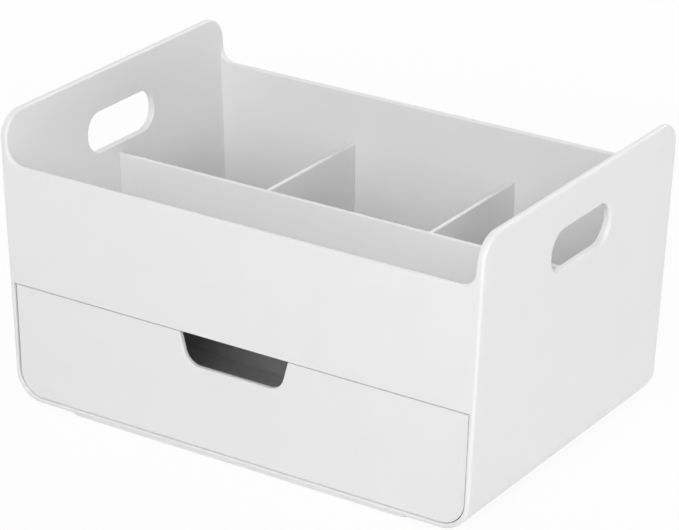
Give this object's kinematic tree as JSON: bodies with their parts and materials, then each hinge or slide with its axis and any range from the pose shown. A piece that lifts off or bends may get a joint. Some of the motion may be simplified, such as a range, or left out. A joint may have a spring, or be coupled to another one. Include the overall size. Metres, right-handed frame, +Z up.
{
  "type": "desk organizer with drawer",
  "caption": "Open-top desk organizer: wide front compartment, deep rear cells, raised side walls with handle slots, and a wide drawer with a finger notch.",
  "frame": {"origin": "middle of the footprint on the desk, at the level of the pads' undersides", "axes": "+Z up, +X to the right across the drawer front, the drawer opens towards -Y"},
  "size_m": [0.2614, 0.1744, 0.1443],
  "materials": {
    "white_plastic": "fine satin, injection moulded",
    "pad_rubber": "matt"
  },
  "bodies": {
    "body": {"case": "white_plastic", "long_divider": "white_plastic", "cross_divider_left": "white_plastic", "cross_divider_right": "white_plastic", "compartment_floor": "white_plastic", "foot_pad_1": "pad_rubber", "foot_pad_2": "pad_rubber", "foot_pad_3": "pad_rubber", "foot_pad_4": "pad_rubber"},
    "drawer": {"drawer": "white_plastic"}
  },
  "joints": [
    {"name": "drawer_slide", "type": "slide", "parent": "body", "child": "drawer", "axis": [0, -1, 0], "range_m": [0, 0.062]}
  ]
}
